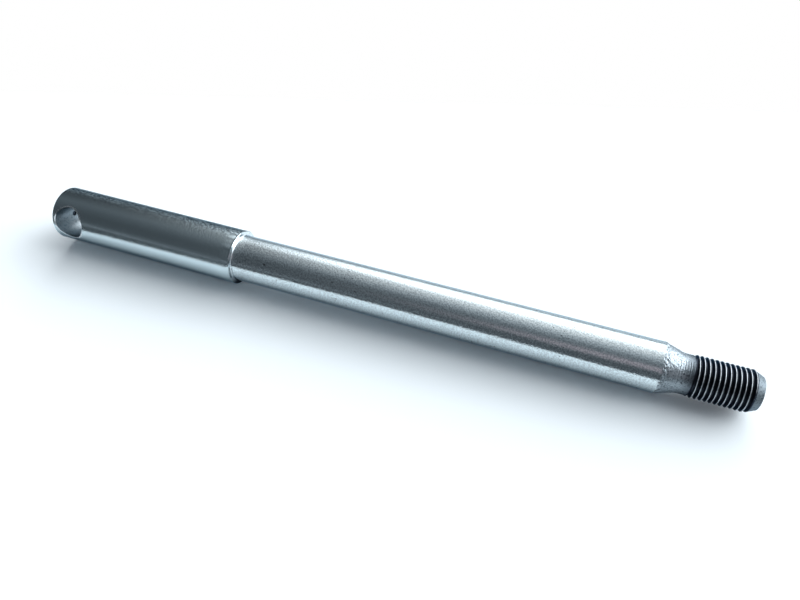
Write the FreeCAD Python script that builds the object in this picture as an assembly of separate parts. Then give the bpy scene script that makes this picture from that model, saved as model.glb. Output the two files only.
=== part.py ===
import FreeCAD, Part
import math
import os
from FreeCAD import Vector

# Front wheel axle, turned in one piece from steel bar, in millimetres.
# The axle lies along X. The shoulder face that stops against the hub is at x = 0,
# the head is on the -X side and the threaded end on the +X side, +Z is up.

# Head, the thick end that the fork clamps
head_diameter = 20.0
head_length = 77.0
head_end_chamfer = 0.5

# Shoulder, with the low burr that the turning tool left along its corner
lip_height = 0.15
lip_width = 0.8

# The shoulder's broken corner and the fillet at its root, as shares of its height
corner_break_share = 1 / 6
root_fillet_share = 4 / 15

# Ground shaft that carries the wheel bearings
shaft_diameter = 17.0
shaft_length = 149.5

# Rough taper down to the rolled end, and the plain neck before the first turn
taper_length = 7.1
neck_blend_radius = 5.0
neck_length = 1.75

# Right-handed metric thread, M14 x 1.5, rolled on a bar of its pitch diameter
thread_nominal_diameter = 14.0
thread_crest_diameter = 13.9
thread_pitch = 1.5
thread_turns = 12
thread_flank_angle = 60.0
entry_length = 1.8
exit_length = 1.5

# Depths of the pitch line and the root, as shares of the height of a sharp thread's triangle
pitch_line_share = 3 / 8
root_share = 17 / 24

# Plain ring past the thread, and the pointed tip
end_ring_length = 0.75
tip_length = 2.4
tip_taper_angle = 25.5
tip_end_round = 0.4

# Cross-hole for the bar that turns the axle, close to the end of the head, and how far the drill runs past
cross_hole_diameter = 12.0
cross_hole_from_end = 7.5
cross_hole_lift_angle = 22.5
cross_hole_countersink = 0.4
cutter_overrun = 1.0

# Lathe centre holes in both ends
centre_pilot_diameter = 2.0
centre_mouth_diameter = 3.2
centre_cone_angle = 60.0
centre_depth = 5.0

# Sizes that follow from the ones above
head_radius = head_diameter / 2
shaft_radius = shaft_diameter / 2
shoulder_height = head_radius - shaft_radius
shoulder_corner_break = corner_break_share * shoulder_height
shoulder_root_fillet = root_fillet_share * shoulder_height
cross_hole_radius = cross_hole_diameter / 2
crest_radius = thread_crest_diameter / 2
flank_slope = math.tan(math.radians(thread_flank_angle / 2))
triangle_height = thread_pitch / 2 / flank_slope
root_radius = thread_nominal_diameter / 2 - root_share * triangle_height
blank_radius = thread_nominal_diameter / 2 - pitch_line_share * triangle_height
head_end_x = -head_length
taper_end_x = shaft_length + taper_length
thread_start_x = taper_end_x + neck_length
thread_end_x = thread_start_x + thread_turns * thread_pitch
tip_start_x = thread_end_x + end_ring_length
tip_end_x = tip_start_x + tip_length
lead_in = neck_length / 2
lead_out = end_ring_length / 2
turning_axis = Vector(1, 0, 0)

# Fineness of the drawn curves: points per turn, and the share of a turn that tells their end direction
curve_steps = 10
end_probe = 0.001


def line(start, end):
    return Part.LineSegment(Vector(*start), Vector(*end)).toShape()


def arc(start, middle, end):
    return Part.Arc(Vector(*start), Vector(*middle), Vector(*end)).toShape()


def at(x, radius):
    """A point of the turned outline, which is drawn above the axis in the XZ plane."""
    return (x, 0.0, radius)


def corner_arc(centre_x, centre_radius, radius, start_angle, end_angle):
    """An arc of the outline round a centre, with its angles in degrees from +X."""
    angles = (start_angle, (start_angle + end_angle) / 2, end_angle)
    points = []
    for angle in angles:
        turn = math.radians(angle)
        points.append(at(centre_x + radius * math.cos(turn), centre_radius + radius * math.sin(turn)))
    return arc(*points)


def head_outline():
    """From the middle of the end face to the foot of the shoulder."""
    lip_radius = head_radius + lip_height
    lip_start = at(-lip_width, head_radius)
    lip_top = at(-shoulder_corner_break, lip_radius)
    face_rim = at(0, lip_radius - shoulder_corner_break)
    return [
        line(at(head_end_x, 0), at(head_end_x, head_radius - head_end_chamfer)),
        line(at(head_end_x, head_radius - head_end_chamfer), at(head_end_x + head_end_chamfer, head_radius)),
        line(at(head_end_x + head_end_chamfer, head_radius), lip_start),
        line(lip_start, lip_top),
        line(lip_top, face_rim),
        line(face_rim, at(0, shaft_radius + shoulder_root_fillet)),
        corner_arc(shoulder_root_fillet, shaft_radius + shoulder_root_fillet, shoulder_root_fillet, 180, 270),
    ]


def taper_outline():
    """The shaft, then a straight taper that runs tangentially into a hollow blend and the neck."""
    centre_radius = blank_radius + neck_blend_radius
    start_rise = centre_radius - shaft_radius
    # The taper is the tangent from the shaft's end to the blend circle
    span = math.hypot(taper_length, start_rise)
    slope = math.asin(neck_blend_radius / span) - math.atan2(start_rise, taper_length)
    touch_angle = 270 - math.degrees(slope)
    touch = math.radians(touch_angle)
    touch_point = at(
        taper_end_x + neck_blend_radius * math.cos(touch),
        centre_radius + neck_blend_radius * math.sin(touch),
    )
    return [
        line(at(shoulder_root_fillet, shaft_radius), at(shaft_length, shaft_radius)),
        line(at(shaft_length, shaft_radius), touch_point),
        corner_arc(taper_end_x, centre_radius, neck_blend_radius, touch_angle, 270),
    ]


def tip_outline():
    """From the middle of the plain ring, down the tip's slope and round its rim, to the middle of the end face."""
    slope = math.radians(tip_taper_angle)
    reach = tip_end_round * math.tan((math.pi / 2 - slope) / 2)
    corner_radius = blank_radius - tip_length * math.tan(slope)
    round_start = at(tip_end_x - reach * math.cos(slope), corner_radius + reach * math.sin(slope))
    slope_start = at(tip_start_x, blank_radius)
    centre_radius = corner_radius - reach
    return [
        line(at(thread_end_x + lead_out, blank_radius), slope_start),
        line(slope_start, round_start),
        corner_arc(tip_end_x - tip_end_round, centre_radius, tip_end_round, 90 - tip_taper_angle, 0),
        line(at(tip_end_x, centre_radius), at(tip_end_x, 0)),
    ]


def smooth_step(share):
    share = min(1.0, max(0.0, share))
    return share * share * (3 - 2 * share)


def thread_height(x):
    """How much of the full thread stands out of the bar at a place along it, from 0 to 1."""
    entry = smooth_step((x - thread_start_x) / entry_length)
    leaving = smooth_step((thread_end_x - x) / exit_length)
    return min(entry, leaving)


def thread_section():
    """One pitch of the thread's section, as shares of the pitch and radii: crest, flank, root, flank."""
    crest_width = thread_pitch / 2 - 2 * flank_slope * (crest_radius - blank_radius)
    flank_run = flank_slope * (crest_radius - root_radius)
    crest_share = crest_width / thread_pitch
    flank_share = flank_run / thread_pitch
    return [
        (0.0, crest_radius),
        (crest_share, crest_radius),
        (crest_share + flank_share, root_radius),
        (1.0 - flank_share, root_radius),
        (1.0, crest_radius),
    ]


def band_start(turns):
    """Where the winding thread's left edge is after so many turns, with a narrow first and last turn."""
    if turns < 1:
        return thread_start_x - (1 - turns) * lead_in
    if turns > thread_turns + 1:
        return thread_end_x + (turns - thread_turns - 1) * lead_out
    return thread_start_x + (turns - 1) * thread_pitch


def on_bar(x, radius, turns):
    """A point at a place along the bar, wound right-handed from the top, sunk or raised by the thread."""
    reach = blank_radius + thread_height(x) * (radius - blank_radius)
    angle = 2 * math.pi * turns
    return Vector(x, -reach * math.sin(angle), reach * math.cos(angle))


def wound_edge(place, radius, first_turn):
    """A helical edge of one turn, as a smooth curve through evenly wound points."""
    shares = [step / curve_steps for step in range(curve_steps + 1)]

    def point(share):
        return on_bar(place(share), radius, first_turn + share)

    def rate(end, inward):
        """The curve's rate of change at one of its ends, from that end and two places just inside it."""
        change = point(end + inward) * 4 - point(end) * 3 - point(end + 2 * inward)
        return change / (2 * inward)

    curve = Part.BSplineCurve()
    curve.interpolate(
        Points=[point(share) for share in shares],
        Parameters=shares,
        InitialTangent=rate(0, end_probe),
        FinalTangent=rate(1, -end_probe),
        Scale=False,
    )
    return curve.toShape()


def ring_edge(x):
    return Part.Circle(Vector(x, 0, 0), turning_axis, blank_radius).toShape()


def strips_between(edges):
    return [Part.makeRuledSurface(edges[index], edges[index + 1]) for index in range(len(edges) - 1)]


def turn_edges(turn):
    """The section's edges, wound through one turn between the band's left and right edge."""
    edges = []
    for share, radius in thread_section():
        def place(part, share=share):
            left = band_start(turn + part)
            return left + share * (band_start(turn + 1 + part) - left)
        edges.append(wound_edge(place, radius, turn))
    return edges


def fan_edges(turn, start_x, end_x):
    """Plain edges that spread over one turn, where the thread's band narrows to nothing."""
    edges = []
    for share, radius in thread_section()[1:-1]:
        def place(part, share=share):
            left = start_x[0] + part * (end_x[0] - start_x[0])
            right = start_x[1] + part * (end_x[1] - start_x[1])
            return left + share * (right - left)
        edges.append(wound_edge(place, blank_radius, turn))
    return edges


def thread_faces():
    """The rolled thread: strips that wind round the bar, and a fan of plain strips at each end."""
    turns = [turn_edges(turn) for turn in range(thread_turns + 1)]
    band_x = thread_start_x - lead_in
    end_x = thread_end_x + lead_out
    first_fan = fan_edges(0, (band_x, band_x), (band_x, thread_start_x))
    last_fan = fan_edges(thread_turns + 1, (thread_end_x, end_x), (end_x, end_x))
    faces = strips_between([ring_edge(band_x)] + first_fan + [turns[0][0]])
    for edges in turns:
        faces += strips_between(edges)
    return faces + strips_between([turns[-1][-1]] + last_fan + [ring_edge(end_x)])


def turned_shell(edges):
    return Part.Wire(edges).revolve(Vector(0, 0, 0), turning_axis, 360)


def turned_body():
    """Everything that is turned or rolled, closed into one solid."""
    neck = line(at(taper_end_x, blank_radius), at(thread_start_x - lead_in, blank_radius))
    left = turned_shell(head_outline() + taper_outline() + [neck])
    right = turned_shell(tip_outline())
    shell = Part.makeShell(left.Faces + thread_faces() + right.Faces)
    shell.sewShape()
    return Part.makeSolid(shell)


def cross_hole():
    """The bar's hole and the countersinks that break its two mouths."""
    lift = math.radians(cross_hole_lift_angle)
    direction = Vector(0, -math.cos(lift), math.sin(lift))
    centre = Vector(head_end_x + cross_hole_from_end, 0, 0)
    reach = head_radius + cutter_overrun
    cutter = Part.makeCylinder(cross_hole_radius, 2 * reach, centre - direction * reach, direction)
    cone_top = cross_hole_radius + cross_hole_countersink + reach - head_radius
    cone_length = cross_hole_countersink + reach - head_radius
    for side in (1, -1):
        outward = direction * side
        cone_foot = centre + outward * (head_radius - cross_hole_countersink)
        cutter = cutter.fuse(Part.makeCone(cross_hole_radius, cone_top, cone_length, cone_foot, outward))
    return cutter


def centre_hole(end_x, inward):
    """A lathe centre: a short cone at the mouth and a pilot behind it."""
    cone_length = (centre_mouth_diameter - centre_pilot_diameter) / 2
    cone_length /= math.tan(math.radians(centre_cone_angle / 2))
    mouth = Vector(end_x, 0, 0)
    pilot = Part.makeCylinder(centre_pilot_diameter / 2, centre_depth, mouth, inward)
    cone = Part.makeCone(centre_mouth_diameter / 2, centre_pilot_diameter / 2, cone_length, mouth, inward)
    return pilot.fuse(cone)


def front_axle():
    axle = turned_body()
    axle = axle.cut(cross_hole())
    axle = axle.cut(centre_hole(head_end_x, turning_axis))
    axle = axle.cut(centre_hole(tip_end_x, turning_axis * -1))
    return axle.Solids[0]


os.makedirs("parts", exist_ok=True)
axle = front_axle()
axle.exportStep("parts/front_axle.step")
print("front_axle", "valid", axle.isValid(), "volume", round(axle.Volume, 1), "faces", len(axle.Faces))
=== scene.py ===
import math

import bpy
from mathutils import Matrix, Vector


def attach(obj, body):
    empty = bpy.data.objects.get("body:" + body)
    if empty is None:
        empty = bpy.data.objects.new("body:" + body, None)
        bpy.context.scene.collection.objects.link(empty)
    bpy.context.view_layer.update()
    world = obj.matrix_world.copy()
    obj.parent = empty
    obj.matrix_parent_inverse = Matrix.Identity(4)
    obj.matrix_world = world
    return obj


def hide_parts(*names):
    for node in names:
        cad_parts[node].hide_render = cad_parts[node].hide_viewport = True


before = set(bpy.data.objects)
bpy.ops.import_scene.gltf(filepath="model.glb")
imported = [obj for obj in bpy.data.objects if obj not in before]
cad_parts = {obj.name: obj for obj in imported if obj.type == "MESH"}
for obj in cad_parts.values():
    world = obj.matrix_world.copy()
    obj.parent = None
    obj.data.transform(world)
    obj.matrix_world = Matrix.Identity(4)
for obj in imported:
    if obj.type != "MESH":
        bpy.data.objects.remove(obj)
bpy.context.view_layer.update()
mm = 0.001
print("frame loaded")


def linearColour(hexText):
    # sRGB hex to linear light
    channels = []
    for start in (0, 2, 4):
        value = int(hexText[start : start + 2], 16) / 255
        channels.append(value / 12.92 if value <= 0.04045 else ((value + 0.055) / 1.055) ** 2.4)
    return (*channels, 1.0)


def addNode(tree, kind, links=None, **settings):
    # a node given as a link stands for its first output in use
    node = tree.nodes.new(kind)
    for name, value in settings.items():
        setattr(node, name, value)
    for name, value in (links or {}).items():
        if isinstance(value, bpy.types.Node):
            value = next(socket for socket in value.outputs if socket.enabled)
        if isinstance(value, bpy.types.NodeSocket):
            tree.links.new(value, node.inputs[name])
        else:
            node.inputs[name].default_value = value
    return node


# the turned outline, in mm along the axle and out from its middle line
bar = {
    "headEnd": -77.0,
    "headRadius": 10.0,
    "endChamfer": 0.5,
    "endRing": 5.0,  # one station on the head's end face
    "holeSide": -62.5,  # stations stand closer from the head's end to here
    "holeStep": 0.5,
    "plainStep": 4.0,
    "faceRadius": 9.4,
    "shaftRadius": 8.5,
    "rootFillet": 0.4,
    "filletSteps": 5,
    "groundEnd": 148.0,  # where the grinding starts to fade
    "shaftEnd": 149.5,
    "taperEnd": 156.6,
    "blendRadius": 5.0,
    "neckRadius": 6.513,
    "tipStart": 177.1,
    "tipEnd": 179.5,
    "tipSlope": 25.5,
    "tipRound": 0.4,
    "tipRing": 3.0,  # one station on the tip's face
    "tipStep": 0.15,
    "roundStep": 0.25,  # in radians
    "centreMouth": 1.6,
    "centrePilot": 1.0,
    "centreCone": 1.039,
    "centreDepth": 5.0,
    "centreSides": 32,
    # painted shade: a thin dark skin that closes the head's centre hole
    "paintedShadeSkin": 0.15,
    "segments": 192,
    "sharpAngle": 30,
}

# the low burr along the shoulder's corner
burr = {
    "radius": 10.12,  # the solid's is 10.15, but its facets fall 0.025 short at the underside
    "width": 0.8,
    "crest": -0.25,
    "step": 0.11,
    "pits": 0.07,
    "corner": ((-0.12, 10.04, 0.05), (0.0, 9.9, 0.0)),  # place, radius and pits
}

# the rolled thread, fading in and out
thread = {
    "start": 158.35,
    "end": 177.25,
    "pitch": 1.5,
    "crestRadius": 6.95,
    "rootRadius": 6.08,
    "crestWidth": 0.2454,
    "runIn": 1.8,
    "runOut": 0.8,
    "stationsPerPitch": 20,
}

# rings that the tool left on the taper and the neck
marks = {
    "from": 152.5,
    "to": 158.9,
    "fadeIn": 2.0,
    "fadeOut": 0.6,
    "depth": 0.045,
    "beats": ((0.75, 0.6), (0.52, 0.4)),  # spacing and share of each
}

# pits of the unground skin, and how deep they are from place to place
pits = {
    "size": 0.67,
    "seed": 3.0,
    "shows": (0.3, 0.7),
    "step": 0.12,
    "neck": 0.03,
    "taper": 0.09,
    "taperFade": (157.5, 2.5),  # where it ends, and over what length
    "edge": 0.28,
    "edgeFade": (151.5, 1.5),
    "tip": 0.05,
}


def easeStep(share):
    share = min(1.0, max(0.0, share))
    return share * share * (3 - 2 * share)


def threadShare(x):
    entering = easeStep((x - thread["start"]) / thread["runIn"])
    leaving = easeStep((thread["end"] - x) / thread["runOut"])
    return min(entering, leaving)


def taperRadius(x):
    # straight from the shaft's end, then a hollow blend into the neck
    centre = bar["neckRadius"] + bar["blendRadius"]
    rise, run = centre - bar["shaftRadius"], bar["taperEnd"] - bar["shaftEnd"]
    slope = math.asin(bar["blendRadius"] / math.hypot(run, rise)) - math.atan2(rise, run)
    touch = bar["taperEnd"] - bar["blendRadius"] * math.sin(slope)
    if x <= touch:
        return bar["shaftRadius"] - (x - bar["shaftEnd"]) * math.tan(slope)
    return centre - math.sqrt(bar["blendRadius"] ** 2 - (bar["taperEnd"] - x) ** 2)


def toolMark(x):
    entering = easeStep((x - marks["from"]) / marks["fadeIn"])
    leaving = easeStep((marks["to"] - x) / marks["fadeOut"])
    depth = marks["depth"] * entering * leaving
    return depth * sum(share * math.sin(2 * math.pi * x / beat) for beat, share in marks["beats"])


def pitDepth(x):
    # deepest at the ground part's edge, less on the taper, least on the neck
    (taperEnd, taperLength), (edgeEnd, edgeLength) = pits["taperFade"], pits["edgeFade"]
    onTaper = easeStep((taperEnd - x) / taperLength)
    atEdge = easeStep((edgeEnd - x) / edgeLength)
    return pits["neck"] + pits["taper"] * onTaper + pits["edge"] * atEdge


def spread(start, end, step):
    count = max(1, round(abs(end - start) / step))
    return [start + (end - start) * i / count for i in range(1, count + 1)]


# each station is its place, radius, share of thread, depth of pits and largest radius
def headStations():
    head, lip, end = bar["headRadius"], burr["radius"], bar["headEnd"]
    coneEnd, rim = end + bar["centreCone"], end + bar["endChamfer"]
    burrStart = -burr["width"]
    turned = [(coneEnd, 0.0), (coneEnd, bar["centrePilot"]), (end, bar["centreMouth"])]
    turned += [(end, bar["endRing"]), (end, head - bar["endChamfer"]), (rim, head)]
    turned += [(x, head) for x in spread(rim, bar["holeSide"], bar["holeStep"])]
    turned += [(x, head) for x in spread(bar["holeSide"], burrStart, bar["plainStep"])]
    stations = [(x, radius, 0.0, 0.0, lip) for x, radius in turned]
    rise = burr["crest"] - burrStart
    for x in spread(burrStart, burr["crest"], burr["step"]):
        radius = head + (x - burrStart) / rise * (lip - head)
        stations.append((x, radius, 0.0, burr["pits"], lip))
    stations += [(x, radius, 0.0, pit, lip) for x, radius, pit in burr["corner"]]
    return stations + [(0.0, bar["faceRadius"], 0.0, 0.0, lip)]


def shaftStations():
    shaft, fillet, stations = bar["shaftRadius"], bar["rootFillet"], []
    for step in range(bar["filletSteps"] + 1):
        turn = math.radians(180 + 90 * step / bar["filletSteps"])
        x, radius = fillet * (1 + math.cos(turn)), shaft + fillet * (1 + math.sin(turn))
        stations.append((x, radius, 0.0, 0.0, burr["radius"]))
    for x in spread(fillet, bar["groundEnd"], bar["plainStep"]):
        stations.append((x, shaft, 0.0, 0.0, shaft))
    for x in spread(bar["groundEnd"], bar["taperEnd"], pits["step"]):
        pit = pitDepth(x)
        stations.append((x, taperRadius(x) + toolMark(x) + pit / 2, 0.0, pit, shaft))
    threadStep = thread["pitch"] / thread["stationsPerPitch"]
    for x in spread(bar["taperEnd"], bar["tipStart"], threadStep):
        radius = bar["neckRadius"] + toolMark(x)
        stations.append((x, radius, threadShare(x), pits["neck"], shaft))
    return stations


def tipStations():
    shaft, slope, stations = bar["shaftRadius"], math.radians(bar["tipSlope"]), []
    reach = bar["tipRound"] * math.tan((math.pi / 2 - slope) / 2)
    corner = bar["neckRadius"] - (bar["tipEnd"] - bar["tipStart"]) * math.tan(slope)
    coneEnd = bar["tipEnd"] - reach * math.cos(slope)
    for x in spread(bar["tipStart"], coneEnd, bar["tipStep"]):
        radius = bar["neckRadius"] - (x - bar["tipStart"]) * math.tan(slope)
        stations.append((x, radius, 0.0, pits["tip"], shaft))
    for turn in spread(math.pi / 2 - slope, 0.0, bar["roundStep"]):
        x = bar["tipEnd"] + bar["tipRound"] * (math.cos(turn) - 1)
        radius = corner - reach + bar["tipRound"] * math.sin(turn)
        stations.append((x, radius, 0.0, 0.0, shaft))
    last, pilot, bottom = bar["tipEnd"], bar["centrePilot"], bar["tipEnd"] - bar["centreDepth"]
    ending = [(last, bar["tipRing"]), (last, bar["centreMouth"])]
    ending += [(last - bar["centreCone"], pilot), (bottom, pilot), (bottom, 0.0)]
    return stations + [(x, radius, 0.0, 0.0, shaft) for x, radius in ending]


def outlineMesh(stations):
    mesh = bpy.data.meshes.new("axle outline")
    points = [(x * mm, 0.0, radius * mm) for x, radius, _, _, _ in stations]
    mesh.from_pydata(points, [(i, i + 1) for i in range(len(points) - 1)], [])
    finish = mesh.attributes.new("finish", "FLOAT_VECTOR", "POINT")
    for i, (_, _, cut, pit, limit) in enumerate(stations):
        finish.data[i].vector = (cut, pit * mm, limit * mm)
    return mesh


# settings that many nodes share. A colour Mix takes its share at 0 and its colours at 6 and 7
smooth = {"interpolation_type": "SMOOTHSTEP"}
colours = {"data_type": "RGBA"}


def newFinish(name):
    material = bpy.data.materials.new(name)
    material.use_nodes = True
    tree = material.node_tree
    tree.nodes.clear()
    return material, tree, addNode(tree, "ShaderNodeTexCoord").outputs["Object"]


def bareSteel(tree, finish, links, height):
    # every finish here is bare steel: full metal, a tint at the grazing edge, and a bump
    links = {**links, "Metallic": 1.0, "Specular Tint": linearColour(finish["edge"])}
    bumpLinks = {"Height": height, "Distance": finish["depth"] * mm}
    links["Normal"] = addNode(tree, "ShaderNodeBump", bumpLinks)
    shader = addNode(tree, "ShaderNodeBsdfPrincipled", links)
    addNode(tree, "ShaderNodeOutputMaterial", {"Surface": shader})


def groundMaterial():
    # ground carbon steel: bright, speckled grey by the wheel, with a few rust specks. The
    # wheel's grain is about 0.1 mm, drawn at 0.5 mm because finer doesn't show in the render
    finish = {
        "colour": "D3DFE3",
        "grey": "B5C0C5",
        "rust": "4A4E52",
        "edge": "B4BEC6",
        "roughness": 0.14,
        "depth": 0.045,
        # size in mm and detail
        "patterns": {
            "ripple": (0.6, 2.0),
            "grain": (0.5, 1.0),
            "speck": (0.9, 1.0),
            "patch": (14.0, 1.0),
        },
        # where each starts to show, and where it is full
        "shows": {"grain": (0.38, 0.66), "speck": (0.70, 0.74), "patch": (0.52, 0.66)},
    }
    material, tree, place = newFinish("ground steel")
    noise, shares = {}, {}
    for name, (size, detail) in finish["patterns"].items():
        links = {"Vector": place, "Scale": 1 / (size * mm), "Detail": detail}
        noise[name] = addNode(tree, "ShaderNodeTexNoise", links)
    for name, (low, high) in finish["shows"].items():
        links = {"Value": noise[name], "From Min": low, "From Max": high}
        shares[name] = addNode(tree, "ShaderNodeMapRange", links, **smooth)
    links = {0: shares["speck"], 1: shares["patch"]}
    rust = addNode(tree, "ShaderNodeMath", links, operation="MULTIPLY")
    links = {0: shares["grain"], 6: linearColour(finish["colour"]), 7: linearColour(finish["grey"])}
    speckled = addNode(tree, "ShaderNodeMix", links, **colours)
    links = {0: rust, 6: speckled, 7: linearColour(finish["rust"])}
    rusty = addNode(tree, "ShaderNodeMix", links, **colours)
    links = {"Base Color": rusty, "Roughness": finish["roughness"]}
    bareSteel(tree, finish, links, noise["ripple"])
    return material


def headMaterial():
    # turned steel, polished by handling, and darker and mottled along its upper back. The mottles
    # are 0.3 to 0.6 mm on the real one
    finish = {
        "colour": "C5D4D9",
        "darker": "5C666C",
        "edge": "8C969E",
        "roughness": 0.18,
        "grain": 0.6,
        "depth": 0.05,
        "shows": (0.36, 0.62),
        "leastMottle": 0.1,
        "darkerBack": (-1.5, 3.0),  # mm towards the back
        "darkerHeight": (4.5, 6.4),  # mm up, so that the lower back stays plain
        "leastDarkening": 0.15,
    }
    material, tree, place = newFinish("turned steel")
    links = {"Vector": place, "Scale": 1 / (finish["grain"] * mm), "Detail": 2.0}
    grain = addNode(tree, "ShaderNodeTexNoise", links)
    parts = addNode(tree, "ShaderNodeSeparateXYZ", {"Vector": place}).outputs
    shares = []
    for value, (low, high), least in (
        (parts["Y"], [edge * mm for edge in finish["darkerBack"]], 0.0),
        (parts["Z"], [edge * mm for edge in finish["darkerHeight"]], finish["leastDarkening"]),
        (grain, finish["shows"], finish["leastMottle"]),
    ):
        links = {"Value": value, "From Min": low, "From Max": high, "To Min": least}
        shares.append(addNode(tree, "ShaderNodeMapRange", links, **smooth))
    band = addNode(tree, "ShaderNodeMath", {0: shares[0], 1: shares[1]}, operation="MULTIPLY")
    mottled = addNode(tree, "ShaderNodeMath", {0: band, 1: shares[2]}, operation="MULTIPLY")
    links = {0: mottled, 6: linearColour(finish["colour"]), 7: linearColour(finish["darker"])}
    colour = addNode(tree, "ShaderNodeMix", links, **colours)
    links = {"Base Color": colour, "Roughness": finish["roughness"]}
    bareSteel(tree, finish, links, grain)
    return material


def roughMaterial(name, finish):
    # steel as the tool left it, darker in its pits, and darker along one axis: old grease on the
    # taper, painted shade towards the floor on the shoulder's face
    material, tree, place = newFinish(name)
    links = {"Vector": place, "Scale": 1 / (finish["pits"] * mm), "Detail": 3.0}
    pitted = addNode(tree, "ShaderNodeTexNoise", links)
    full, clean = 0.34, 0.5  # below the first a pit is all dirt, above the second there is none
    links = {"Value": pitted, "From Min": full, "From Max": clean, "To Min": 1.0, "To Max": 0.0}
    dirt = addNode(tree, "ShaderNodeMapRange", links, **smooth)
    links = {0: dirt, 6: linearColour(finish["colour"]), 7: linearColour(finish["dirt"])}
    colour = addNode(tree, "ShaderNodeMix", links, **colours)
    # darkening along one axis: old grease on the taper, painted shade on the shoulder's face
    if "greaseAndShade" in finish:
        parts = addNode(tree, "ShaderNodeSeparateXYZ", {"Vector": place}).outputs
        low, high = (edge * mm for edge in finish["greaseAndShadeFrom"])
        links = {"Value": parts[finish["greaseAndShadeAlong"]], "From Min": low, "From Max": high}
        greaseAndShadeShare = addNode(tree, "ShaderNodeMapRange", links, **smooth)
        links = {0: greaseAndShadeShare, 6: colour, 7: linearColour(finish["greaseAndShade"])}
        colour = addNode(tree, "ShaderNodeMix", links, **colours)
    links = {"Base Color": colour, "Roughness": finish["roughness"]}
    bareSteel(tree, finish, links, pitted)
    return material


def threadMaterial():
    # rolled and oiled thread: dark grooves, with the crests worn bright by nuts
    finish = {
        "groove": "363B44",
        "crest": "D2DAE0",
        "edge": "9CA4AC",
        "wear": (6.85, 6.91),  # radius where the wear starts, and where it is full
        "uneven": 0.02,
        "patch": 0.9,
        "shows": (0.3, 0.7),
        "grain": 0.4,
        "depth": 0.01,
        "oily": 0.3,  # roughness of the oiled grooves and of the worn crests
        "worn": 0.55,
    }
    # this finish also paints the centre holes dark, as painted shade
    material, tree, place = newFinish("thread steel and painted centre-hole shade")
    across = addNode(tree, "ShaderNodeVectorMath", {0: place, 1: (0, 1, 1)}, operation="MULTIPLY")
    radius = addNode(tree, "ShaderNodeVectorMath", {0: across}, operation="LENGTH")
    links = {"Vector": place, "Scale": 1 / (finish["patch"] * mm), "Detail": 3.0}
    patch = addNode(tree, "ShaderNodeTexNoise", links)
    (low, high), lift = finish["shows"], finish["uneven"] * mm
    links = {"Value": patch, "From Min": low, "From Max": high, "To Min": -lift, "To Max": lift}
    uneven = addNode(tree, "ShaderNodeMapRange", links, **smooth)
    height = addNode(tree, "ShaderNodeMath", {0: radius, 1: uneven}, operation="ADD")
    low, high = (edge * mm for edge in finish["wear"])
    links = {"Value": height, "From Min": low, "From Max": high}
    worn = addNode(tree, "ShaderNodeMapRange", links, **smooth)
    links = {0: worn, 6: linearColour(finish["groove"]), 7: linearColour(finish["crest"])}
    colour = addNode(tree, "ShaderNodeMix", links, **colours)
    links = {"Value": worn, "To Min": finish["oily"], "To Max": finish["worn"]}
    roughness = addNode(tree, "ShaderNodeMapRange", links)
    links = {"Vector": place, "Scale": 1 / (finish["grain"] * mm)}
    grain = addNode(tree, "ShaderNodeTexNoise", links)
    bareSteel(tree, finish, {"Base Color": colour, "Roughness": roughness}, grain)
    return material


headSteel, groundSteel, threadSteel = headMaterial(), groundMaterial(), threadMaterial()

# turned taper, left unground: pits of about 0.4 mm, darkened by grease towards the thread
taper = {
    "colour": "9CA7AE",
    "dirt": "5C646A",
    "edge": "B8C0C8",
    "roughness": 0.42,
    "pits": 0.45,
    "depth": 0.03,
    "greaseAndShade": "444C54",
    "greaseAndShadeAlong": "X",
    "greaseAndShadeFrom": (154.5, 160.5),
}
taperSteel = roughMaterial("rough taper steel", taper)

# cut ends, dull and blotched
tip = {
    "colour": "7C878E",
    "dirt": "59636A",
    "edge": "B8C0C8",
    "roughness": 0.55,
    "pits": 0.6,
    "depth": 0.08,
}
tipSteel = roughMaterial("cut end steel", tip)

# drilled wall, evenly scuffed
bore = {
    "colour": "98A2A8",
    "dirt": "838D93",
    "edge": "B8C0C8",
    "roughness": 0.34,
    "pits": 0.8,
    "depth": 0.02,
}
boreSteel = roughMaterial("drilled steel", bore)

# countersunk rims, cut bright
rim = {
    "colour": "E2E9EC",
    "dirt": "B4BCC0",
    "edge": "E0E8F0",
    "roughness": 0.35,
    "pits": 0.5,
    "depth": 0.008,
}
rimSteel = roughMaterial("countersunk steel", rim)

# faced shoulder, cut as bright as the rims but smoother, with painted shade darkening its lower
# part towards the floor
face = {
    **rim,
    "roughness": 0.24,
    # painted shade: the face's lower part is darkened towards the floor
    "greaseAndShade": "2A2E33",
    "greaseAndShadeAlong": "Z",
    "greaseAndShadeFrom": (-2.0, -6.5),
}
faceSteel = roughMaterial("faced shoulder steel", face)
print("finishes made")


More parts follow.
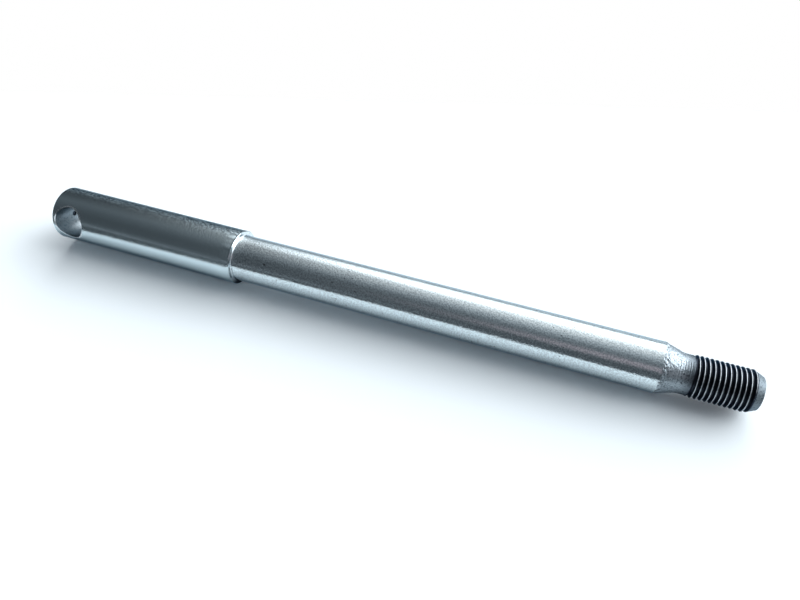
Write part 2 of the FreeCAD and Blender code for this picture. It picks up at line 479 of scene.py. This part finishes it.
def wrapOutline(tree, given):
    # a grid of stations by segments, wrapped round the middle line at each station's radius
    links = {"Geometry": given["Outline"]}
    count = addNode(tree, "GeometryNodeAttributeDomainSize", links, component="MESH")
    links = {0: given["Segments"], 1: 1}
    columns = addNode(tree, "FunctionNodeIntegerMath", links, operation="ADD")
    links = {"Vertices X": count.outputs["Point Count"], "Vertices Y": columns}
    grid = addNode(tree, "GeometryNodeMeshGrid", links)
    links = {0: addNode(tree, "GeometryNodeInputIndex"), 1: columns}
    station = addNode(tree, "FunctionNodeIntegerMath", links, operation="DIVIDE_FLOOR")
    column = addNode(tree, "FunctionNodeIntegerMath", links, operation="MODULO")
    finish = addNode(
        tree, "GeometryNodeInputNamedAttribute", {"Name": "finish"}, data_type="FLOAT_VECTOR"
    )
    vectors = {"data_type": "FLOAT_VECTOR", "domain": "POINT"}
    readings = []
    for value in (addNode(tree, "GeometryNodeInputPosition"), finish.outputs["Attribute"]):
        links = {"Geometry": given["Outline"], "Value": value, "Index": station}
        sample = addNode(tree, "GeometryNodeSampleIndex", links, **vectors)
        readings.append(addNode(tree, "ShaderNodeSeparateXYZ", {"Vector": sample}).outputs)
    values = {"along": readings[0]["X"], "plain": readings[0]["Z"], "column": column}
    values.update({"cut": readings[1]["X"], "pit": readings[1]["Y"], "limit": readings[1]["Z"]})
    values.update({name: given[name] for name in ("Segments", "Crest start", "Pitch")})

    steps = [
        ("share", "DIVIDE", "column", "Segments"),
        ("angle", "MULTIPLY", "share", 2 * math.pi),
        ("sine", "SINE", "angle", 0.0),
        ("cosine", "COSINE", "angle", 0.0),
        ("fromStart", "SUBTRACT", "along", "Crest start"),
        ("pitches", "DIVIDE", "fromStart", "Pitch"),
        ("wound", "SUBTRACT", "pitches", "share"),  # right-hand
        ("fromCrest", "PINGPONG", "wound", 0.5),
        ("across", "MULTIPLY", "sine", "plain"),
        ("up", "MULTIPLY", "cosine", "plain"),
    ]
    for name, operation, first, second in steps:
        links = {0: values.get(first, first), 1: values.get(second, second)}
        values[name] = addNode(tree, "ShaderNodeMath", links, operation=operation)
    # from crest to root and back in each pitch, rounded at both
    links = {"Value": values["fromCrest"], "From Max": 0.5}
    links.update({"To Min": given["Crest radius"], "To Max": given["Root radius"]})
    groove = addNode(tree, "ShaderNodeMapRange", links, **smooth)
    links = {"Factor": values["cut"], "A": values["plain"], "B": groove}
    values["threaded"] = addNode(tree, "ShaderNodeMix", links, data_type="FLOAT")

    # pits: patches sunk below the turned radius
    links = {"X": values["along"], "Y": values["across"], "Z": values["up"]}
    skin = addNode(tree, "ShaderNodeCombineXYZ", links)
    links = {"Vector": skin, "W": given["Seed"], "Scale": given["Pits per metre"], "Detail": 2.0}
    patches = addNode(tree, "ShaderNodeTexNoise", links, noise_dimensions="4D")
    low, high = pits["shows"]
    links = {"Value": patches, "From Min": low, "From Max": high, "To Max": values["pit"]}
    values["sink"] = addNode(tree, "ShaderNodeMapRange", links)
    steps = [
        ("sunk", "SUBTRACT", "threaded", "sink"),
        ("radius", "MINIMUM", "sunk", "limit"),
        ("front", "MULTIPLY", "sine", "radius"),
        ("y", "MULTIPLY", "front", -1.0),
        ("z", "MULTIPLY", "cosine", "radius"),
    ]
    for name, operation, first, second in steps:
        links = {0: values.get(first, first), 1: values.get(second, second)}
        values[name] = addNode(tree, "ShaderNodeMath", links, operation=operation)
    links = {"X": values["along"], "Y": values["y"], "Z": values["z"]}
    ring = addNode(tree, "ShaderNodeCombineXYZ", links)
    wrapped = addNode(tree, "GeometryNodeSetPosition", {"Geometry": grid, "Position": ring})
    # closes the seam, and the poles where the outline meets the middle line
    links = {"Geometry": wrapped, "Distance": 0.001 * mm}
    closed = addNode(tree, "GeometryNodeMergeByDistance", links)
    outward = addNode(tree, "GeometryNodeFlipFaces", {"Mesh": closed})
    links = {"Geometry": outward, "Material": headSteel}
    return addNode(tree, "GeometryNodeSetMaterial", links)


# the cross-hole through the head. The drill reaches past both mouths, in parts along its length
hole = {
    "centre": -69.5,
    "radius": 6.0,
    "lift": 22.5,
    "countersink": 0.4,
    "reach": 11.0,
    "sides": 128,
    "parts": 3,
}


def crossDrill(tree, given):
    # one drill: its end rings widen, and its inner rings move to the feet of the countersinks
    where = addNode(tree, "GeometryNodeInputPosition")
    links = {"Vertices": hole["sides"], "Side Segments": hole["parts"]}
    links.update({"Radius": given["Hole radius"], "Depth": 2 * hole["reach"] * mm})
    drill = addNode(tree, "GeometryNodeMeshCylinder", links).outputs["Mesh"]
    height = addNode(tree, "ShaderNodeSeparateXYZ", {"Vector": where}).outputs["Z"]
    away = addNode(tree, "ShaderNodeMath", {0: height}, operation="ABSOLUTE")
    middle = hole["reach"] / 2 * mm
    foot = bar["headRadius"] - hole["countersink"]
    wide = 1 + (hole["reach"] - foot) / hole["radius"]
    out = hole["parts"] * foot / hole["reach"]
    for test, scale in (("GREATER_THAN", (wide, wide, 1)), ("LESS_THAN", (1, 1, out))):
        chosen = addNode(tree, "ShaderNodeMath", {0: away, 1: middle}, operation=test)
        moved = addNode(tree, "ShaderNodeVectorMath", {0: where, 1: scale}, operation="MULTIPLY")
        links = {"Geometry": drill, "Selection": chosen, "Position": moved}
        drill = addNode(tree, "GeometryNodeSetPosition", links)
    links = {"Geometry": drill, "Material": boreSteel}
    drilled = addNode(tree, "GeometryNodeSetMaterial", links)
    links = {"Geometry": drilled, "Translation": (hole["centre"] * mm, 0, 0)}
    links["Rotation"] = (math.radians(90 - hole["lift"]), 0, 0)
    return addNode(tree, "GeometryNodeTransform", links)


def centreDrill(tree):
    # the inner end of the head's centre hole, in the cross-hole's wall. It stops short, so a thin
    # skin closes the centre hole: a dark sheet of painted shade where the hole would show its depth
    stopped = bar["headEnd"] + bar["centreCone"] + bar["paintedShadeSkin"]
    reach = bar["headEnd"] + bar["centreDepth"] - stopped
    links = {"Vertices": bar["centreSides"], "Radius": bar["centrePilot"] * mm}
    links["Depth"] = reach * mm
    pilot = addNode(tree, "GeometryNodeMeshCylinder", links).outputs["Mesh"]
    # the pilot's wall takes the thread's dark root colour, as painted shade
    links = {"Geometry": pilot, "Material": threadSteel}
    paintedShadePilot = addNode(tree, "GeometryNodeSetMaterial", links)
    links = {"Geometry": paintedShadePilot, "Translation": ((stopped + reach / 2) * mm, 0, 0)}
    links["Rotation"] = (0, math.radians(90), 0)
    return addNode(tree, "GeometryNodeTransform", links)


# where one finish ends and the next begins, in mm
borders = {
    "margin": 0.02,
    "groundFrom": 0.3,
    "groundSkin": 0.004,  # a face this much below the shaft's radius isn't ground
    "beforeTip": 0.1,
}


def facesByFinish(tree, shaped):
    # which finish a face has, from its place; a later choice overrules an earlier one
    where = addNode(tree, "GeometryNodeInputPosition")
    place = addNode(tree, "ShaderNodeSeparateXYZ", {"Vector": where}).outputs["X"]
    across = addNode(tree, "ShaderNodeVectorMath", {0: where, 1: (0, 1, 1)}, operation="MULTIPLY")
    lift, centre = math.radians(hole["lift"]), (hole["centre"] * mm, 0, 0)
    offset = addNode(tree, "ShaderNodeVectorMath", {0: where, 1: centre}, operation="SUBTRACT")
    links = {0: offset, 1: (0, -math.cos(lift), math.sin(lift))}
    besides = addNode(tree, "ShaderNodeVectorMath", links, operation="CROSS_PRODUCT")
    values = {"x": place}
    for name, vector in (("radius", across), ("fromHole", besides)):
        values[name] = addNode(tree, "ShaderNodeVectorMath", {0: vector}, operation="LENGTH")
    margin, rimRadius = borders["margin"], hole["radius"] + hole["countersink"]
    steps = [
        ("atEnd", "LESS_THAN", "x", (bar["headEnd"] + margin) * mm),
        ("pastHead", "GREATER_THAN", "x", -margin * mm),
        ("pastFillet", "GREATER_THAN", "x", borders["groundFrom"] * mm),
        ("full", "GREATER_THAN", "radius", (bar["shaftRadius"] - borders["groundSkin"]) * mm),
        ("ground", "MULTIPLY", "pastFillet", "full"),
        ("pastNeck", "GREATER_THAN", "x", marks["to"] * mm),
        ("pastThread", "GREATER_THAN", "x", (bar["tipStart"] - borders["beforeTip"]) * mm),
        ("atHole", "LESS_THAN", "fromHole", (rimRadius + margin) * mm),
        ("inHole", "LESS_THAN", "fromHole", (hole["radius"] + margin) * mm),
        ("atCentre", "LESS_THAN", "radius", (bar["centreMouth"] - margin) * mm),
        ("outside", "SUBTRACT", 1.0, "inHole"),
        ("inCentre", "MULTIPLY", "atCentre", "outside"),
    ]
    for name, operation, first, second in steps:
        links = {0: values.get(first, first), 1: values.get(second, second)}
        values[name] = addNode(tree, "ShaderNodeMath", links, operation=operation)
    choices = {
        "atEnd": tipSteel,
        "pastHead": faceSteel,
        "pastFillet": taperSteel,
        "ground": groundSteel,
        "pastNeck": threadSteel,
        "pastThread": tipSteel,
        "atHole": rimSteel,
        "inHole": boreSteel,
        # the centre holes take the thread's dark root colour, as painted shade in their recesses
        "inCentre": threadSteel,
    }
    for name, material in choices.items():
        links = {"Geometry": shaped, "Material": material, "Selection": values[name]}
        shaped = addNode(tree, "GeometryNodeSetMaterial", links)
    return shaped


def sharpCorners(tree, shaped):
    # corners stay sharp everywhere but on the thread
    links = {"Geometry": shaped, "Shade Smooth": True}
    rounded = addNode(tree, "GeometryNodeSetShadeSmooth", links, domain="FACE")
    where = addNode(tree, "GeometryNodeInputPosition")
    place = addNode(tree, "ShaderNodeSeparateXYZ", {"Vector": where}).outputs["X"]
    bend = addNode(tree, "GeometryNodeInputMeshEdgeAngle").outputs["Unsigned Angle"]
    middle = (thread["start"] + thread["end"]) / 2 * mm
    half = (thread["end"] - thread["start"]) / 2 * mm
    fromMiddle = addNode(tree, "ShaderNodeMath", {0: place, 1: middle}, operation="SUBTRACT")
    away = addNode(tree, "ShaderNodeMath", {0: fromMiddle}, operation="ABSOLUTE")
    offThread = addNode(tree, "ShaderNodeMath", {0: away, 1: half}, operation="GREATER_THAN")
    links = {0: bend, 1: math.radians(bar["sharpAngle"])}
    bent = addNode(tree, "ShaderNodeMath", links, operation="GREATER_THAN")
    sharp = addNode(tree, "ShaderNodeMath", {0: bent, 1: offThread}, operation="MULTIPLY")
    links = {"Geometry": rounded, "Selection": sharp, "Shade Smooth": False}
    return addNode(tree, "GeometryNodeSetShadeSmooth", links, domain="EDGE")


def axleTree():
    tree = bpy.data.node_groups.new("turned and rolled axle", "GeometryNodeTree")
    sizes = {
        "Segments": bar["segments"],
        "Pitch": thread["pitch"] * mm,
        "Crest start": (thread["start"] + thread["crestWidth"] / 2) * mm,
        "Crest radius": thread["crestRadius"] * mm,
        "Root radius": thread["rootRadius"] * mm,
        "Pits per metre": 1 / (pits["size"] * mm),
        "Seed": pits["seed"],
        "Hole radius": hole["radius"] * mm,
    }
    tree.interface.new_socket("Outline", in_out="INPUT", socket_type="NodeSocketGeometry")
    for name, size in sizes.items():
        kind = "NodeSocketInt" if isinstance(size, int) else "NodeSocketFloat"
        tree.interface.new_socket(name, in_out="INPUT", socket_type=kind)
    tree.interface.new_socket("Axle", in_out="OUTPUT", socket_type="NodeSocketGeometry")
    given = addNode(tree, "NodeGroupInput").outputs

    cutting = {"operation": "DIFFERENCE", "solver": "MANIFOLD"}
    links = {"Mesh 1": wrapOutline(tree, given), "Mesh 2": crossDrill(tree, given)}
    drilled = addNode(tree, "GeometryNodeMeshBoolean", links, **cutting)
    tree.links.new(centreDrill(tree).outputs["Geometry"], drilled.inputs["Mesh 2"])
    shaped = sharpCorners(tree, drilled.outputs["Mesh"])
    realized = addNode(tree, "GeometryNodeRealizeInstances", {"Geometry": shaped})
    addNode(tree, "NodeGroupOutput", {"Axle": facesByFinish(tree, realized)})
    return tree, sizes


def makeAxle():
    outline = outlineMesh(headStations() + shaftStations() + tipStations())
    holder = bpy.data.objects.new("axleOutline", outline)
    bpy.context.scene.collection.objects.link(holder)
    tree, sizes = axleTree()
    shaping = holder.modifiers.new("turn", "NODES")
    shaping.node_group = tree
    for item in tree.interface.items_tree:
        if item.in_out == "INPUT" and item.name in sizes:
            shaping[item.identifier] = sizes[item.name]
    graph = bpy.context.evaluated_depsgraph_get()
    mesh = bpy.data.meshes.new_from_object(holder.evaluated_get(graph))
    holder.modifiers.clear()
    bpy.data.objects.remove(holder)
    mesh.name = "axle"
    while mesh.materials and mesh.materials[0] is None:  # the boolean leaves an empty first slot
        mesh.materials.pop(index=0)
    axle = bpy.data.objects.new("axle", mesh)
    bpy.context.scene.collection.objects.link(axle)
    return axle


axle = makeAxle()
print("axle made", len(axle.data.polygons), "faces", len(axle.data.materials), "finishes")

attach(axle, "root")
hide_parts("front_axle")

# the pale sheet under the axle, in mm
sheet = {
    "corners": [(13, -167), (215, -77), (230, 197), (-206, 74)],
    "colour": "DDE5E9",
    "lift": "868A8C",
    "roughness": 0.9,
}


def makeFloor():
    # it lies against the shoulder's burr and the shaft's end, as the axle rests
    rise = (burr["radius"] - bar["shaftRadius"]) / bar["shaftEnd"]
    points = [(x * mm, y * mm, (-burr["radius"] + rise * x) * mm) for x, y in sheet["corners"]]
    mesh = bpy.data.meshes.new("floor")
    mesh.from_pydata(points, [], [(0, 1, 2, 3)])
    material, tree, _ = newFinish("pale sheet")
    links = {"Base Color": linearColour(sheet["colour"]), "Roughness": sheet["roughness"]}
    paper = addNode(tree, "ShaderNodeBsdfPrincipled", links)
    # the camera and the metal see the sheet whiter than it lights the axle
    lift = addNode(tree, "ShaderNodeBsdfDiffuse", {"Color": linearColour(sheet["lift"])})
    white = addNode(tree, "ShaderNodeAddShader", {0: paper, 1: lift})
    rays = addNode(tree, "ShaderNodeLightPath").outputs
    seen = rays["Is Camera Ray"]
    for kind in ("Is Glossy Ray", "Is Transmission Ray"):
        seen = addNode(tree, "ShaderNodeMath", {0: seen, 1: rays[kind]}, operation="MAXIMUM")
    shown = addNode(tree, "ShaderNodeMixShader", {0: seen, 1: paper, 2: white})
    addNode(tree, "ShaderNodeOutputMaterial", {"Surface": shown})
    mesh.materials.append(material)
    floor = bpy.data.objects.new("floor", mesh)
    bpy.context.scene.collection.objects.link(floor)


# brightness of the room round the axle's line: degrees from overhead towards the back, and level.
# The window side is what the shaft shows, the dim side what the head shows
room = {
    "dimSide": [
        (-120, 0.07), (-93, 0.06), (-88, 0.06), (-81, 0.17), (-76, 0.12), (-69, 0.07),
        (-63, 0.06), (-38, 0.055), (-14, 0.07), (11, 0.09), (35, 0.06), (45, 0.055),
        (58, 0.075), (66, 0.16), (74, 0.28), (82, 0.33), (90, 0.31), (98, 0.24), (120, 0.07),
    ],
    "windowSide": [
        (-120, 0.07), (-87, 0.08), (-75, 0.072), (-63, 0.10), (-38, 0.12), (-26, 0.16),
        (-14, 0.27), (-1, 0.41), (11, 0.59), (23, 0.78), (35, 1.15), (43, 1.9), (52, 2.4),
        (66, 2.4), (73, 1.6), (80, 0.82), (90, 0.36), (97, 0.16), (120, 0.08),
    ],
    "warmWall": [(-66, 0.0), (-56, 0.14), (-50, 0.17), (-44, 0.08), (-34, 0.0)],
    "lamp": [(-8, 0.0), (10, 2.2), (50, 2.2), (66, 0.0)],
    # how far each reaches along the axle's direction, -1 past the head and 1 past the thread
    "windowAlong": [
        (-0.64, 0.0), (-0.58, 0.01), (-0.52, 0.07), (-0.43, 0.28), (-0.28, 0.56),
        (-0.1, 0.84), (0.1, 1.0),
    ],
    "warmAlong": [(-0.3, 0.0), (-0.1, 0.3), (0.1, 1.0)],
    "lampAlong": [(0.36, 0.0), (0.6, 1.0)],
    "tint": "FBFDFF",
    "dimTint": "E3F2FF",
    "warmTint": "FFE0E8",
    "dimBelow": 0.6,
    "peak": 2.4,
    "strength": 4.0,
}


def bandStops(name, tintName):
    # a band's stops as shares of the whole turn, with colours that cool as they dim
    tint, dimTint = linearColour(room[tintName])[:3], linearColour(room["dimTint"])[:3]
    stops = []
    for degrees, level in room[name]:
        bright = 1.0 if tintName == "warmTint" else min(1.0, level / room["dimBelow"])
        channels = [bright * light + (1 - bright) * dark for light, dark in zip(tint, dimTint)]
        lit = [level / room["peak"] * channel for channel in channels]
        stops.append(((degrees + 180) / 360, lit))
    return stops


def makeRoom():
    world = bpy.data.worlds.new("room")
    bpy.context.scene.world = world
    world.use_nodes = True
    tree = world.node_tree
    tree.nodes.clear()
    place = addNode(tree, "ShaderNodeTexCoord").outputs["Generated"]
    parts = addNode(tree, "ShaderNodeSeparateXYZ", {"Vector": place}).outputs
    turn = addNode(tree, "ShaderNodeMath", {0: parts["Y"], 1: parts["Z"]}, operation="ARCTAN2")
    ranges = {"turn": {"Value": turn, "From Min": -math.pi, "From Max": math.pi}}
    ranges["along"] = {"Value": parts["X"], "From Min": -1.0, "From Max": 1.0}
    tints = {"dimSide": "tint", "windowSide": "tint", "warmWall": "warmTint", "lamp": "tint"}
    bands = {name: ("turn", bandStops(name, tintName)) for name, tintName in tints.items()}
    for name in ("windowAlong", "warmAlong", "lampAlong"):
        bands[name] = ("along", [((along + 1) / 2, [share] * 3) for along, share in room[name]])
    for name, (axis, stops) in bands.items():
        level = addNode(tree, "ShaderNodeMapRange", ranges[axis])
        ramp = addNode(tree, "ShaderNodeValToRGB", {"Fac": level})
        elements = ramp.color_ramp.elements
        elements.remove(elements[-1])
        for i, (position, channels) in enumerate(stops):
            stop = elements.new(position) if i else elements[0]
            stop.position, stop.color = position, (*channels, 1.0)
        bands[name] = ramp
    light = bands["dimSide"]
    for share, band, blend in (
        ("windowAlong", "windowSide", "MIX"),
        ("warmAlong", "warmWall", "ADD"),
        ("lampAlong", "lamp", "ADD"),
    ):
        links = {0: bands[share], 6: light, 7: bands[band]}
        light = addNode(tree, "ShaderNodeMix", links, blend_type=blend, **colours)
    lit = addNode(tree, "ShaderNodeBackground", {"Color": light, "Strength": room["strength"]})
    # past the sheet the camera sees plain white, and the metal the room
    links = {"Color": linearColour("FFFFFF"), "Strength": 1.0}
    white = addNode(tree, "ShaderNodeBackground", links)
    seen = addNode(tree, "ShaderNodeLightPath").outputs["Is Camera Ray"]
    shown = addNode(tree, "ShaderNodeMixShader", {0: seen, 1: lit, 2: white})
    addNode(tree, "ShaderNodeOutputWorld", {"Surface": shown})


# place and nearest in mm
camera = {
    "place": (110.305, -136.73, 163.38),
    "right": (0.94302, 0.33273, 0.0),
    "up": (-0.24924, 0.70639, 0.66251),
    "lens": 28.08,
    "sensor": 36.0,
    "nearest": 5.0,
}


def makeCamera():
    data = bpy.data.cameras.new("camera")
    data.lens, data.sensor_width = camera["lens"], camera["sensor"]
    data.clip_start = camera["nearest"] * mm
    viewer = bpy.data.objects.new("camera", data)
    right, up = Vector(camera["right"]), Vector(camera["up"])
    turned = Matrix((right, up, right.cross(up))).transposed().to_4x4()
    viewer.matrix_world = Matrix.Translation(Vector(camera["place"]) * mm) @ turned
    bpy.context.scene.collection.objects.link(viewer)
    bpy.context.scene.camera = viewer


makeFloor()
makeRoom()
makeCamera()
bpy.context.scene.view_settings.view_transform = "Standard"
print("floor, room and camera made")
